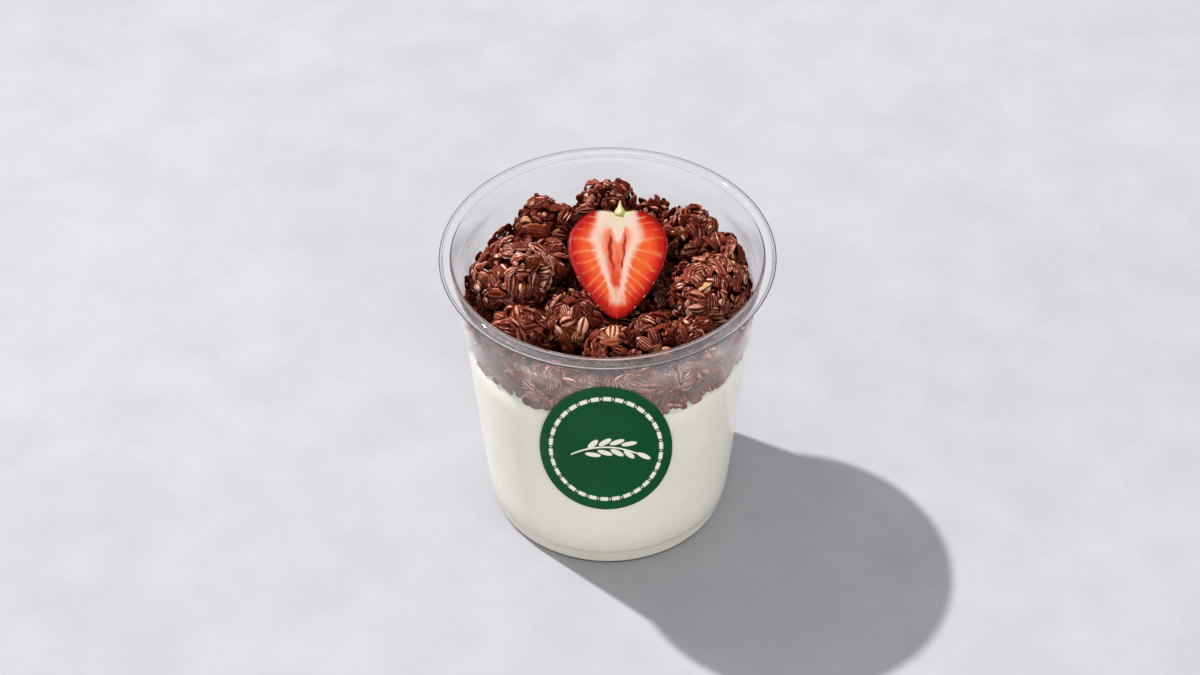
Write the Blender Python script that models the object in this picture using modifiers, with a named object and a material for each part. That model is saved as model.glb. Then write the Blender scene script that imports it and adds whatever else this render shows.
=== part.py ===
"""Yogurt parfait: yogurt under chocolate granola in a clear plastic pot.

Half a strawberry lies on the granola and an oval sticker is on the front.
The units are metres, +Z is up, the origin is the centre of the pot's foot,
and the sticker faces -Y.
"""
import math

import bmesh
import bpy
from mathutils import Euler, Matrix, Vector, noise

MM = 0.001
GAP = 0.3 * MM  # kept between pieces that touch
STEPS = 40  # facets round a turned piece

# The pot, measured on the outside of its plastic sheet.
POT_HEIGHT = 96 * MM
RIM_RADIUS = 49 * MM
SHEET = 0.6 * MM
CURL_WIDTH = 3.9 * MM  # the rolled rim's section
CURL_HEIGHT = 3.6 * MM
CURL_END = -50  # degrees, where the rolled edge stops under the rim
FLARE_HEIGHT = 91.6 * MM  # where the rim starts to widen out of the neck
FLARE_RADIUS = 44.9 * MM
NECK_TOP = 89.2 * MM  # the narrow ring under the rim
NECK_BOTTOM = 88.0 * MM
NECK_RADIUS = 44.0 * MM
SHOULDER_HEIGHT = 86.2 * MM  # top of the straight wall
WALL_FOOT_HEIGHT = 6.4 * MM  # bottom of the straight wall
WALL_FOOT_RADIUS = 37.85 * MM
WALL_SPREAD = 0.0828  # radius gained for each unit of height
FOOT_BAND_HEIGHT = 5.2 * MM
FOOT_BAND_RADIUS = 37.1 * MM
FOOT_RADIUS = 36.9 * MM
FOOT_CORNER = 1.6 * MM  # radius of the foot's rounded edges
FOOT_FLAT = 1.8 * MM  # width of the ring that the pot stands on
BASE_RISE = 2.2 * MM  # how far the base is pushed up inside the foot
FACET_SAG = RIM_RADIUS * (1 - math.cos(math.pi / STEPS))  # a facet lies this far inside its circle

# The line between yogurt and granola, and the granola's upper surface:
# waves round the pot, size and phase of each ripple.
LAYER_HEIGHT = 68.6 * MM
LAYER_RIPPLES = ((3, 0.5 * MM, 0.4), (7, 0.6 * MM, 2.1), (12, 0.7 * MM, 4.0), (17, 0.4 * MM, 1.2))
BED_EDGE_HEIGHT = 75.5 * MM
BED_CROWN = 4.6 * MM  # how much higher the bed stands at its centre
BED_RIPPLES = ((2, 0.5 * MM, 1.0), (5, 0.6 * MM, 0.2), (9, 0.5 * MM, 3.0))

# Granola clusters: name, centre and half sizes in millimetres.
CLUSTERS = (
    ("cluster_back", (0.2, 34.2, 84.8), (8.6, 7.2, 7.8)),
    ("cluster_back_left", (-18.6, 26.4, 82.8), (9.2, 8.6, 8.4)),
    ("cluster_left", (-28.0, 3.6, 83.0), (11.9, 11.4, 10.8)),
    ("cluster_right", (30.0, -5.2, 82.8), (12.2, 11.6, 10.6)),
    ("cluster_back_right", (24.4, 21.4, 83.2), (8.0, 8.0, 8.8)),
    ("cluster_behind_berry", (13.8, 28.6, 83.8), (6.0, 6.0, 6.0)),
    ("cluster_far_right", (34.9, 10.6, 83.6), (6.3, 6.6, 6.4)),
    ("cluster_front_left", (-25.6, -18.6, 81.4), (8.4, 7.2, 6.8)),
    ("cluster_front_middle_left", (-9.6, -17.2, 82.6), (8.4, 8.6, 8.0)),
    ("cluster_front", (0.8, -27.2, 81.4), (7.8, 6.6, 6.6)),
    ("cluster_front_middle_right", (12.6, -23.4, 81.4), (7.4, 7.4, 6.6)),
    ("cluster_front_right", (24.0, -23.0, 81.2), (6.6, 7.2, 6.4)),
    ("cluster_beside_berry", (-17.0, 9.6, 82.0), (6.4, 6.8, 6.6)),
)
CLUSTER_RELIEF = 0.28  # depth of a cluster's lumps, as a part of its size
CLUSTER_GRAIN = 1.9  # lumps across a cluster
CUTTER_SKIRT = 2 * MM  # how far a cutter of the bed reaches past it

# The strawberry half: its axis is local Y, with the tip at -Y, and its cut
# face looks along local +Z.
BERRY_LENGTH = 37.4 * MM
BERRY_WIDTH = 27.2 * MM
BERRY_DEPTH = 11.5 * MM
BERRY_TAPER = 0.44  # how much fuller the stalk end is than the tip
BERRY_NOTCH = 1.2 * MM  # hollow round the stalk
BERRY_NOTCH_RADIUS = 3.6 * MM
BERRY_CENTRE = Vector((2.9, 2.1, 88.9)) * MM
BERRY_TILT = math.radians(19)
BERRY_TURN = math.radians(-1)
STALK_LENGTH = 3.8 * MM
STALK_RADIUS = 1.6 * MM
STALK_TIP_RADIUS = 0.4 * MM

# The sticker, measured along the wall.
STICKER_WIDTH = 40.2 * MM
STICKER_HEIGHT = 54.9 * MM
STICKER_DROOP = 4.2 * MM  # how far its sides sink below its middle
STICKER_CENTRE_ARC = -1.05 * MM
STICKER_CENTRE_HEIGHT = 55.35 * MM
STICKER_THICKNESS = 0.4 * MM


def clear_scene():
    for item in list(bpy.data.objects):
        bpy.data.objects.remove(item, do_unlink=True)


def new_collection(name):
    collection = bpy.data.collections.new(name)
    bpy.context.scene.collection.children.link(collection)
    return collection


def make_material(name, colour, roughness, metallic=0.0, transmission=0.0, alpha=1.0):
    material = bpy.data.materials.new(name)
    material.use_nodes = True
    surface = material.node_tree.nodes["Principled BSDF"]
    surface.inputs["Base Color"].default_value = (*colour, 1.0)
    surface.inputs["Roughness"].default_value = roughness
    surface.inputs["Metallic"].default_value = metallic
    surface.inputs["Transmission Weight"].default_value = transmission
    surface.inputs["Alpha"].default_value = alpha
    material.diffuse_color = (*colour, alpha)
    return material


def add_piece(name, mesh, collection, material=None):
    piece = bpy.data.objects.new(name, mesh)
    collection.objects.link(piece)
    if material:
        mesh.materials.append(material)
    return piece


def bmesh_to_mesh(name, bm):
    mesh = bpy.data.meshes.new(name)
    bmesh.ops.recalc_face_normals(bm, faces=bm.faces)
    bm.to_mesh(mesh)
    bm.free()
    return mesh


def bake(piece):
    """Turn a piece's modifiers into plain mesh, so that it can be reshaped."""
    graph = bpy.context.evaluated_depsgraph_get()
    mesh = bpy.data.meshes.new_from_object(piece.evaluated_get(graph))
    piece.modifiers.clear()
    piece.data = mesh


def smooth(piece, sharp_angle=40):
    piece.data.shade_smooth()
    piece.data.set_sharp_from_angle(angle=math.radians(sharp_angle))


def arc(centre, radii, start, end, steps):
    """Points on an ellipse between two angles in degrees."""
    points = []
    for step in range(steps + 1):
        angle = math.radians(start + (end - start) * step / steps)
        points.append((centre[0] + radii[0] * math.cos(angle), centre[1] + radii[1] * math.sin(angle)))
    return points


def offset_inward(path, distance):
    """Move a profile that runs down its outer side towards the pot's inside."""
    moved = []
    for index, (radius, height) in enumerate(path):
        before = Vector(path[max(index - 1, 0)])
        after = Vector(path[min(index + 1, len(path) - 1)])
        here = Vector((radius, height))
        first = (here - before) if index else (after - here)
        second = (after - here) if index < len(path) - 1 else (here - before)
        inward_first = Vector((first.y, -first.x)).normalized()
        inward_second = Vector((second.y, -second.x)).normalized()
        middle = (inward_first + inward_second).normalized()
        reach = distance / middle.dot(inward_first)
        moved.append((max(radius + middle.x * reach, 0.0), height + middle.y * reach))
    return moved


def wall_radius(height):
    """Outside radius of the straight wall."""
    return WALL_FOOT_RADIUS + WALL_SPREAD * (height - WALL_FOOT_HEIGHT)


def filling_radius(height):
    """Radius of what fills the pot, clear of the faceted wall."""
    return wall_radius(height) - SHEET - GAP - FACET_SAG


def foot_path():
    """Profile from the bottom of the straight wall to the middle of the base."""
    outer_turn = FOOT_RADIUS - FOOT_CORNER
    inner_turn = outer_turn - FOOT_FLAT
    path = [(WALL_FOOT_RADIUS, WALL_FOOT_HEIGHT), (FOOT_BAND_RADIUS, FOOT_BAND_HEIGHT)]
    path += arc((outer_turn, FOOT_CORNER), (FOOT_CORNER, FOOT_CORNER), 0, -90, 2)
    path += arc((inner_turn, FOOT_CORNER), (FOOT_CORNER, FOOT_CORNER), -90, -180, 2)
    path += [(inner_turn - 2 * FOOT_CORNER, BASE_RISE), (0.0, BASE_RISE)]
    return path


def pot_path():
    """Outer side of the sheet, from the end of the rolled rim to the base."""
    half_width = CURL_WIDTH / 2
    half_height = CURL_HEIGHT / 2
    centre = (RIM_RADIUS - half_width, POT_HEIGHT - half_height)
    path = arc(centre, (half_width - SHEET, half_height - SHEET), CURL_END, 180, 7)
    path += [(FLARE_RADIUS, FLARE_HEIGHT), (NECK_RADIUS, NECK_TOP), (NECK_RADIUS, NECK_BOTTOM)]
    path += [(wall_radius(SHOULDER_HEIGHT), SHOULDER_HEIGHT)]
    return path + foot_path()


def turned(name, profile, collection, material=None):
    """Turn a profile, drawn at +X, about the Z axis."""
    mesh = bpy.data.meshes.new(name)
    points = [(radius, 0.0, height) for radius, height in profile]
    edges = [(index, index + 1) for index in range(len(points) - 1)]
    mesh.from_pydata(points, edges, [])
    piece = add_piece(name, mesh, collection, material)
    screw = piece.modifiers.new("Turn", "SCREW")
    screw.axis = "Z"
    screw.steps = STEPS
    screw.render_steps = STEPS
    screw.use_merge_vertices = True
    screw.merge_threshold = 0.00001
    return piece


def make_pot(collection, material):
    pot = turned("pot", pot_path(), collection, material)
    shell = pot.modifiers.new("Sheet", "SOLIDIFY")
    shell.thickness = SHEET
    shell.offset = -1
    shell.use_even_offset = True
    bake(pot)
    smooth(pot)


def ripple(angle, ripples):
    return sum(size * math.cos(waves * angle + phase) for waves, size, phase in ripples)


def layer_line(x, y):
    """Height where yogurt meets granola: level inside, rippled at the wall."""
    reach = min(math.hypot(x, y) / filling_radius(LAYER_HEIGHT), 1.0)
    return LAYER_HEIGHT + reach**3 * ripple(math.atan2(y, x), LAYER_RIPPLES)


def bed_top(x, y):
    """Height of the granola bed, which is crowned and uneven."""
    reach = min(math.hypot(x, y) / filling_radius(BED_EDGE_HEIGHT), 1.0)
    uneven = reach * ripple(math.atan2(y, x), BED_RIPPLES)
    return BED_EDGE_HEIGHT + BED_CROWN * (1 - reach**2) + uneven


def level_rings(height, rings):
    """Profile points from the axis outward on a level surface."""
    return [(filling_radius(height) * ring / rings, height) for ring in range(rings + 1)]


def make_yogurt(collection, material, bed_shape):
    """Fill the pot to above the layer line, then cut back to the granola's underside."""
    brim = LAYER_HEIGHT + 4 * MM
    foot = offset_inward(foot_path(), SHEET + GAP + FACET_SAG)
    profile = [(0.0, brim), (filling_radius(brim), brim)] + foot
    yogurt = turned("yogurt", profile, collection, material)
    bake(yogurt)
    cut(yogurt, bed_shape)
    smooth(yogurt)


def triangulate(piece):
    """Fix each face's diagonal, so that copies of a surface match everywhere."""
    bm = bmesh.new()
    bm.from_mesh(piece.data)
    bmesh.ops.triangulate(bm, faces=bm.faces)
    bm.to_mesh(piece.data)
    bm.free()


def make_bed(name, collection, material=None, lift=0.0, skirt=0.0):
    """The granola bed, or a cutter of its shape, lifted and with a skirt past the wall."""
    top = level_rings(BED_EDGE_HEIGHT, 5)
    bottom = list(reversed(level_rings(LAYER_HEIGHT, 3)))
    if skirt:
        top.append((top[-1][0] + skirt, BED_EDGE_HEIGHT))
        bottom.insert(0, (bottom[0][0] + skirt, LAYER_HEIGHT))
    bed = turned(name, top + bottom, collection, material)
    bake(bed)
    for vertex in bed.data.vertices:
        surface = bed_top if vertex.co.z > BED_EDGE_HEIGHT - GAP else layer_line
        vertex.co.z = surface(vertex.co.x, vertex.co.y) + lift
    triangulate(bed)
    smooth(bed)
    return bed


def as_cutter(piece):
    piece.hide_render = True
    piece.display_type = "WIRE"
    return piece


def cut(piece, cutter):
    """Take the cutter's shape out of a piece, and keep it as plain mesh."""
    boolean = piece.modifiers.new("Cut", "BOOLEAN")
    boolean.operation = "DIFFERENCE"
    boolean.solver = "EXACT"
    boolean.object = cutter
    bake(piece)


def berry_body(swell):
    """A whole strawberry about its axis, larger all round by swell."""
    bm = bmesh.new()
    bmesh.ops.create_uvsphere(bm, u_segments=24, v_segments=14, radius=1.0)
    bmesh.ops.rotate(bm, verts=bm.verts, matrix=Matrix.Rotation(math.radians(-90), 3, "X"))
    for vertex in bm.verts:
        across, along, down = vertex.co
        fullness = 1 + BERRY_TAPER * along
        x = across * fullness * (BERRY_WIDTH / 2 + swell)
        z = down * fullness * (BERRY_DEPTH + swell)
        y = along * (BERRY_LENGTH / 2 + swell)
        if along > 0:
            y -= BERRY_NOTCH * math.exp(-((x**2 + z**2) / BERRY_NOTCH_RADIUS**2))
        vertex.co = (x, y, z)
    return bm


def berry_placing():
    turn = Euler((BERRY_TILT, 0, 0)).to_matrix() @ Matrix.Rotation(BERRY_TURN, 3, "Z")
    return Matrix.Translation(BERRY_CENTRE) @ turn.to_4x4()


def make_whole_berry(name, collection, swell):
    berry = add_piece(name, bmesh_to_mesh(name, berry_body(swell)), collection)
    berry.matrix_world = berry_placing()
    return berry


def make_berry(collection, material):
    bm = berry_body(0.0)
    everything = list(bm.verts) + list(bm.edges) + list(bm.faces)
    face = bmesh.ops.bisect_plane(
        bm, geom=everything, dist=1e-7, plane_co=(0, 0, 0), plane_no=(0, 0, 1), clear_outer=True
    )
    rim = [item for item in face["geom_cut"] if isinstance(item, bmesh.types.BMEdge)]
    bmesh.ops.holes_fill(bm, edges=rim, sides=0)
    berry = add_piece("strawberry_half", bmesh_to_mesh("strawberry_half", bm), collection, material)
    berry.matrix_world = berry_placing()
    smooth(berry)
    return berry


def make_stalk(collection, material, berry):
    bm = bmesh.new()
    bmesh.ops.create_cone(
        bm, cap_ends=True, segments=10, radius1=STALK_RADIUS, radius2=STALK_TIP_RADIUS, depth=STALK_LENGTH
    )
    bmesh.ops.rotate(bm, verts=bm.verts, matrix=Matrix.Rotation(math.radians(-90), 3, "X"))
    stalk = add_piece("strawberry_stalk", bmesh_to_mesh("strawberry_stalk", bm), collection, material)
    stalk.parent = berry
    base = BERRY_LENGTH / 2 - BERRY_NOTCH / 2
    stalk.location = (0, base + STALK_LENGTH / 2, -STALK_RADIUS / 2)
    smooth(stalk, 50)


def cluster_reach(centre, direction, own_size, others):
    """How far a cluster may grow in a direction before it meets another."""
    reach = math.inf
    for other_centre, other_size in others:
        apart = other_centre - centre
        distance = apart.length
        border = (distance**2 + own_size**2 - other_size**2) / (2 * distance) - GAP
        towards = direction.dot(apart / distance)
        if towards > 0:
            reach = min(reach, border / towards)
    return reach


def inside_pot(centre, point):
    """Draw a point back towards its cluster's centre until the pot holds it."""
    while math.hypot(point.x, point.y) > filling_radius(min(point.z, SHOULDER_HEIGHT)) - GAP:
        point = point.lerp(centre, 0.03)
    return point


def make_cluster(number, collection, material, cutters):
    name, centre, half_sizes = CLUSTERS[number]
    centre = Vector(centre) * MM
    half_sizes = Vector(half_sizes) * MM
    others = [
        (Vector(spot) * MM, sum(sizes) / 3 * MM)
        for other_name, spot, sizes in CLUSTERS
        if other_name != name
    ]
    bm = bmesh.new()
    bmesh.ops.create_icosphere(bm, subdivisions=3, radius=1.0)
    for vertex in bm.verts:
        direction = vertex.co.normalized()
        lumps = noise.noise(direction * CLUSTER_GRAIN + Vector((0, 0, 7.3 * number)))
        arm = direction * half_sizes * (1 + CLUSTER_RELIEF * lumps)
        own_size = sum(half_sizes) / 3
        reach = cluster_reach(centre, arm.normalized(), own_size, others)
        arm = arm.normalized() * min(arm.length, reach)
        vertex.co = inside_pot(centre, centre + arm)
    cluster = add_piece(name, bmesh_to_mesh(name, bm), collection, material)
    for cutter in cutters:
        cut(cluster, cutter)
    smooth(cluster, 60)


def make_sticker(collection, material):
    """An oval patch, bent round the wall and given its thickness outward."""
    bm = bmesh.new()
    bmesh.ops.create_grid(bm, x_segments=8, y_segments=10, size=1.0)
    for vertex in bm.verts:
        u, v, _ = vertex.co
        across = u * math.sqrt(1 - v**2 / 2) * STICKER_WIDTH / 2
        droop = STICKER_DROOP * (2 * across / STICKER_WIDTH) ** 2
        height = STICKER_CENTRE_HEIGHT + v * math.sqrt(1 - u**2 / 2) * STICKER_HEIGHT / 2 - droop
        angle = (STICKER_CENTRE_ARC + across) / wall_radius(height)
        radius = wall_radius(height) + GAP
        vertex.co = (radius * math.sin(angle), -radius * math.cos(angle), height)
    mesh = bpy.data.meshes.new("sticker")
    bm.to_mesh(mesh)
    bm.free()
    sticker = add_piece("sticker", mesh, collection, material)
    thick = sticker.modifiers.new("Thickness", "SOLIDIFY")
    thick.thickness = STICKER_THICKNESS
    thick.offset = 1
    bake(sticker)
    smooth(sticker)


def build():
    clear_scene()
    parts = new_collection("yogurt_parfait")
    cutting = new_collection("cutters")
    plastic = make_material("clear_plastic", (0.93, 0.94, 0.95), 0.08, transmission=0.9, alpha=0.35)
    yogurt = make_material("yogurt", (0.83, 0.80, 0.74), 0.45)
    granola = make_material("chocolate_granola", (0.075, 0.026, 0.014), 0.35)
    berry_red = make_material("strawberry", (0.62, 0.045, 0.02), 0.3)
    stalk_green = make_material("strawberry_stalk", (0.45, 0.5, 0.15), 0.5)
    sticker_green = make_material("green_sticker", (0.012, 0.09, 0.042), 0.4)

    whole_berry = as_cutter(make_whole_berry("berry_cutter", cutting, GAP))
    raised_bed = as_cutter(make_bed("raised_bed", cutting, lift=GAP, skirt=CUTTER_SKIRT))
    lowered_bed = as_cutter(make_bed("lowered_bed", cutting, lift=-GAP, skirt=CUTTER_SKIRT))

    make_pot(parts, plastic)
    make_yogurt(parts, yogurt, lowered_bed)
    bed = make_bed("granola_bed", parts, granola)
    cut(bed, whole_berry)
    for number in range(len(CLUSTERS)):
        make_cluster(number, parts, granola, (raised_bed, whole_berry))
    berry = make_berry(parts, berry_red)
    make_stalk(parts, stalk_green, berry)
    make_sticker(parts, sticker_green)


build()
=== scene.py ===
import math

import bmesh
import bpy
import numpy as np
from mathutils import Euler, Matrix, Vector, noise


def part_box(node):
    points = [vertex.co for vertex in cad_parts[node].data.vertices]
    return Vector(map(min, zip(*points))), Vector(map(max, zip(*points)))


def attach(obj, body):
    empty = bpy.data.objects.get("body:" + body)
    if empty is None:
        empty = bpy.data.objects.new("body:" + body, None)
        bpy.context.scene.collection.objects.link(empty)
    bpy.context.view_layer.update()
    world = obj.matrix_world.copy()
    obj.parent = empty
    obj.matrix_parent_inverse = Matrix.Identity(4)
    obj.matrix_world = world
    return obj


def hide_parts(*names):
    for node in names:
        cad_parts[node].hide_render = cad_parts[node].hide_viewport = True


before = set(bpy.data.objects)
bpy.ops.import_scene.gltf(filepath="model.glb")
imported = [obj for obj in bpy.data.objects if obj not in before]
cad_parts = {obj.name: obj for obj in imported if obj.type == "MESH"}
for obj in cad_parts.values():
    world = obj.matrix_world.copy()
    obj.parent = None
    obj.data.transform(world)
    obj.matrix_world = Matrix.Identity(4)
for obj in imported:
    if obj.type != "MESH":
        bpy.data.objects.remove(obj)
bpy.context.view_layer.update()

MM = 0.001
TURN_STEPS = 256  # facets round a turned piece
SEAM = 0.0005  # points nearer than this become one

# The pot, measured on the outside of its plastic.
POT_HEIGHT = 96.3
RIM_RADIUS = 49.2
RIM_SHEET = 0.7
WALL_SHEET = 0.8
CURL_WIDTH, CURL_HEIGHT, CURL_END = 3.9, 3.6, -50.0
FLARE = (44.9, 91.6)
NECK_RADIUS, NECK_TOP, NECK_BOTTOM = 44.35, 89.2, 88.0
SHOULDER_HEIGHT = 86.2
WALL_FOOT_HEIGHT, WALL_FOOT_RADIUS, WALL_SPREAD = 6.4, 37.85, 0.0828
FOOT_BAND = (37.1, 5.2)
FOOT_RADIUS, FOOT_CORNER, FOOT_FLAT, BASE_RISE = 36.9, 1.6, 1.8, 2.2

# Where yogurt meets granola, and the granola's own surface.
LAYER_HEIGHT = 68.6
LAYER_RIPPLES = ((3, 0.5, 0.4), (7, 0.6, 2.1), (12, 0.7, 4.0), (17, 0.4, 1.2))
BED_EDGE_HEIGHT, BED_CROWN = 75.5, 4.6  # the crown is how much higher the bed stands in its middle
HANG_RIPPLES = ((5, 0.6, 1.0), (23, 1.2, 0.2), (41, 0.9, 3.0))  # how unevenly oats hang over the yogurt
SIDE_RISE, FRONT_RISE = 1.5, 8.5  # how much higher oats lean on the wall, all round and at the front
INTO_WALL = 0.12  # how far the filling reaches into the plastic

# The strawberry half. Its tip is at local -Y and its cut face looks along local +Z.
BERRY_LENGTH, BERRY_WIDTH, BERRY_DEPTH, BERRY_TAPER = 37.4, 27.2, 11.5, 0.44
BERRY_NOTCH, BERRY_NOTCH_RADIUS, BERRY_SHOULDER = 1.2, 3.6, 1.3
RIGHT_ARM_IN = 1.6  # how much nearer the middle the pale band's right arm sits
BERRY_CENTRE = Vector((2.9, 2.1, 88.9))
BERRY_TILT, BERRY_TURN = math.radians(19), math.radians(-1)
STALK_ASIDE = 0.6
SEED_HALF_SIZES, SEED_DIMPLE = (0.6, 0.36, 0.22), 0.34

# The sticker, measured along the wall.
STICKER_WIDTH, STICKER_HEIGHT, STICKER_DROOP = 40.2, 54.9, 4.2
STICKER_ARC, STICKER_MIDDLE = -1.05, 55.35
RING_SHARE, RING_DASHES = 0.82, 30.0  # how far out the printed ring runs, and its dashes
STEM_TOP, STEM_BOW = 1.4, 0.035


# ---- finishes


def operator(operation, swapped=False):
    """A sign or word between two values, which becomes a node."""
    if swapped:
        return lambda self, other: self.maths(operation, other, self)
    return lambda self, other: self.maths(operation, self, other)


class Shade:
    """A number, colour or direction inside a finish, so that patterns read as sums."""

    def __init__(self, finish, socket):
        self.finish, self.socket = finish, socket

    def maths(self, operation, *parts):
        """A maths node for the parts, or for this value alone."""
        return self.finish.node("Math", {"operation": operation}, dict(enumerate(parts or (self,))))

    def __abs__(self):
        return self.maths("ABSOLUTE")

    __add__, __radd__ = operator("ADD"), operator("ADD", swapped=True)
    __sub__, __rsub__ = operator("SUBTRACT"), operator("SUBTRACT", swapped=True)
    __mul__, __rmul__ = operator("MULTIPLY"), operator("MULTIPLY", swapped=True)
    __truediv__, __rtruediv__ = operator("DIVIDE"), operator("DIVIDE", swapped=True)
    __pow__, __rpow__ = operator("POWER"), operator("POWER", swapped=True)
    larger, smaller = operator("MAXIMUM"), operator("MINIMUM")

    def axis(self, letter):
        return self.finish.node("SeparateXYZ", {}, {"Vector": self}, letter)

    def stretched(self, factors):
        """A place multiplied axis by axis."""
        return self.finish.node("VectorMath", {"operation": "MULTIPLY"}, {0: self, 1: factors})

    def between(self, low, high):
        """0 below low, 1 above high, and smooth between them. The other way round if low is larger."""
        values = {"Value": self, "From Min": low, "From Max": high}
        return self.finish.node("MapRange", {"interpolation_type": "SMOOTHSTEP"}, values)

    def ridge(self, middle, half_width):
        """1 at the middle value, falling to 0 at half_width from it."""
        return 1.0 - abs(self - middle).between(0.0, half_width)

    def grain(self, scale, detail=2.0, roughness=0.5):
        """Soft noise at this place, about 0.5, with scale features to the millimetre."""
        values = {"Vector": self, "Scale": scale, "Detail": detail, "Roughness": roughness}
        return self.finish.node("TexNoise", {}, values)

    def bump(self, depth):
        """This height as a direction for Normal; depth is what it is worth in millimetres."""
        return self.finish.node("Bump", {}, {"Height": self, "Distance": depth * MM}, "Normal")


class Finish:
    """A material built from nodes, with one method for every kind of node."""

    def __init__(self, name):
        self.material = bpy.data.materials.new(name)
        self.material.use_nodes = True
        self.tree = self.material.node_tree
        self.tree.nodes.clear()

    def node(self, kind, settings=None, values=None, out=0):
        made = self.tree.nodes.new("ShaderNode" + kind)
        for name, setting in (settings or {}).items():
            if name == "stops":
                ramp = made.color_ramp.elements
                while len(ramp) < len(setting):
                    ramp.new(0.5)
                for stop, (place, colour) in zip(ramp, setting):
                    stop.position = place
                    stop.color = (*colour, 1.0)
            else:
                setattr(made, name, setting)
        for name, value in (values or {}).items():
            if isinstance(value, Shade):
                self.tree.links.new(value.socket, made.inputs[name])
            elif isinstance(value, tuple) and made.inputs[name].type == "RGBA":
                made.inputs[name].default_value = (*value, 1.0)
            else:
                made.inputs[name].default_value = value
        return Shade(self, made.outputs[out])

    def here(self):
        """Place on the object, in millimetres."""
        place = self.node("TexCoord", out="Object")
        return self.node("VectorMath", {"operation": "SCALE"}, {0: place, "Scale": 1 / MM})

    def stored(self, name):
        """A number that the mesh keeps at each of its points."""
        return self.node("Attribute", {"attribute_name": name}, out="Fac")

    def blend(self, first, second, share, way="MIX"):
        """A colour between two colours, or the first tinted by the second if the way is MULTIPLY."""
        settings = {"data_type": "RGBA", "blend_type": way}
        return self.node("Mix", settings, {0: share, 6: first, 7: second}, out=2)

    def multiply(self, first, second, share):
        return self.blend(first, second, share, "MULTIPLY")

    def principled(self, **values):
        named = {name.replace("_", " "): value for name, value in values.items()}
        return self.node("BsdfPrincipled", {}, named)

    def mixed(self, share, first, second):
        """A surface that is partly one surface and partly another."""
        return self.node("MixShader", {}, {0: share, 1: first, 2: second})

    def done(self, surface):
        made = self.tree.nodes.new("ShaderNodeOutputMaterial")
        self.tree.links.new(surface.socket, made.inputs["Surface"])
        return self.material

    def surface(self, colour, roughness, direction=None, gloss=0.5, **values):
        """The finished material, from one opaque surface."""
        if direction:
            values["Normal"] = direction
        values.update(Base_Color=colour, Roughness=roughness, Specular_IOR_Level=gloss)
        return self.done(self.principled(**values))


def clear_plastic():
    """Clear plastic, misty in the wall, with a painted dark reflection where the rolled rim turns away.

    Lamps shine freely into the pot but only dimly out of it.
    """
    finish = Finish("clear_plastic")

    def plain(kind, colour):
        return finish.node("Bsdf" + kind, {}, {"Color": colour})

    facing = finish.node("LayerWeight", {}, {"Blend": 0.5}, "Facing")
    here = finish.here()
    height, ahead = here.axis("Z"), here.axis("Y")
    smears = here.stretched((1.0, 1.0, 0.5)).grain(0.16, 3.0, 0.6).between(0.35, 0.7)
    wall = height.between(88.0, 82.0)
    neck = height.between(77.0, 84.5) * height.between(89.6, 88.4) * ahead.between(0.0, -18.0)
    turned = facing**3.0 * (0.16 + 0.5 * height.between(66.0, 73.0))
    mist = 0.01 + (0.012 + 0.05 * smears + turned) * wall + (0.045 + 0.06 * smears) * neck
    clear = finish.principled(Base_Color=(1.0, 1.0, 1.0), Roughness=0.02, IOR=1.3, Transmission_Weight=1.0)
    milky = (plain(kind, (0.97, 0.94, 0.93)) for kind in ("Diffuse", "Translucent"))
    seen = finish.mixed(mist, clear, finish.mixed(0.3, *milky))
    # Painted dark reflection: a dark grey surface where the rolled rim turns away.
    flat = here.stretched((1.0, 1.0, 0.0))
    reach = finish.node("VectorMath", {"operation": "LENGTH"}, {0: flat}, "Value")
    edge = height.between(92.0, 93.2) * (0.16 + 0.84 * reach.between(47.3, 48.3))
    seen = finish.mixed(edge * facing.between(0.46, 0.8), seen, plain("Diffuse", (0.1, 0.1, 0.11)))
    # Where the thin neck turns away, what lies behind it shows plainly.
    thin = height.between(75.0, 82.0) * height.between(94.8, 93.4) * facing.between(0.45, 0.8)
    thin = thin * reach.between(46.6, 45.8)
    seen = finish.mixed(0.85 * thin, seen, plain("Transparent", (0.95, 0.95, 0.955)))
    into, out_of = (plain("Transparent", (grey, grey, grey)) for grey in (0.84, 0.04))
    seen = finish.mixed(finish.node("LightPath", out="Is Diffuse Ray"), seen, into)
    leaving = finish.stored("outside") * (1.0 - finish.node("NewGeometry", out="Backfacing"))
    to_lamp = finish.node("LightPath", out="Is Shadow Ray")
    return finish.done(finish.mixed(to_lamp, seen, finish.mixed(leaving, into, out_of)))


def yogurt_finish():
    finish = Finish("yogurt")
    here = finish.here()
    cloud = here.grain(0.045, 3.0, 0.55)
    fine = here.grain(0.9, 3.0, 0.6)
    colour = finish.blend((0.82, 0.795, 0.69), (0.88, 0.855, 0.755), cloud.between(0.3, 0.7))
    colour = finish.blend(colour, (0.9, 0.88, 0.81), 0.35 * fine.between(0.45, 0.75))
    # Painted shade: darker towards the bottom, where the pot's foot and the floor shade the yogurt.
    colour = finish.multiply(colour, (0.84, 0.835, 0.79), here.axis("Z").between(16.0, 5.0))
    return finish.surface(colour, 0.42 + 0.14 * fine, fine.bump(0.03), 0.3)


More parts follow.
